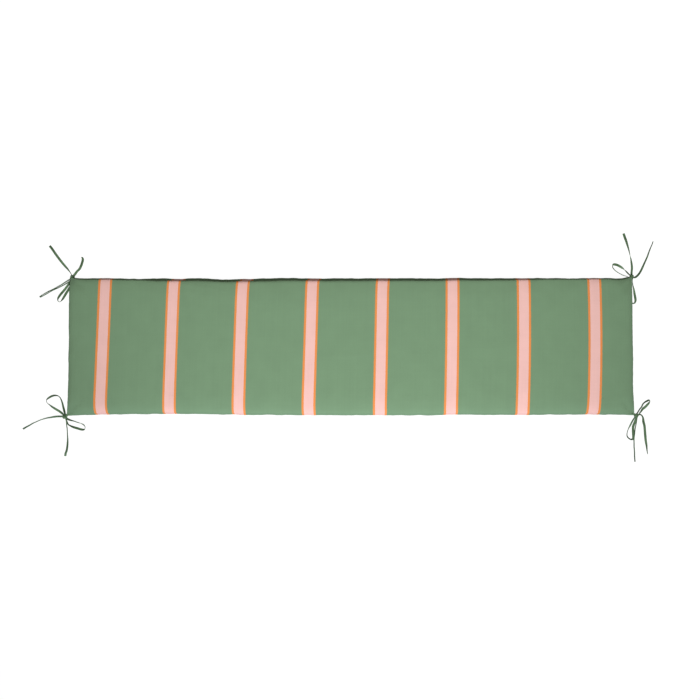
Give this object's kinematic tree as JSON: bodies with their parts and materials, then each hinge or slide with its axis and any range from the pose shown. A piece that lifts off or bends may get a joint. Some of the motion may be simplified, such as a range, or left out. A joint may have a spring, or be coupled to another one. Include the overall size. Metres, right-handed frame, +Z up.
{
  "type": "bench cushion",
  "caption": "Long thin bench cushion, filled and crowned, seamed round its rolled edge, in crosswise striped cloth with tape ties bowed at the corners.",
  "frame": {"origin": "middle of the cushion's underside, on the surface that it lies on", "axes": "+X along the bench, +Y to the back edge, +Z up through the cushion's thickness"},
  "size_m": [2.019, 0.7343, 0.042],
  "materials": {
    "striped_cover": "matt plain-woven cotton and polyester cloth, sage green with crosswise pale pink stripes edged in orange",
    "green_tape": "matt narrow folded tape in the cover's green"
  },
  "bodies": {
    "root": {"cushion": "striped_cover", "tie_back_left": "green_tape", "tie_back_right": "green_tape", "tie_front_left": "green_tape", "tie_front_right": "green_tape"}
  },
  "joints": []
}
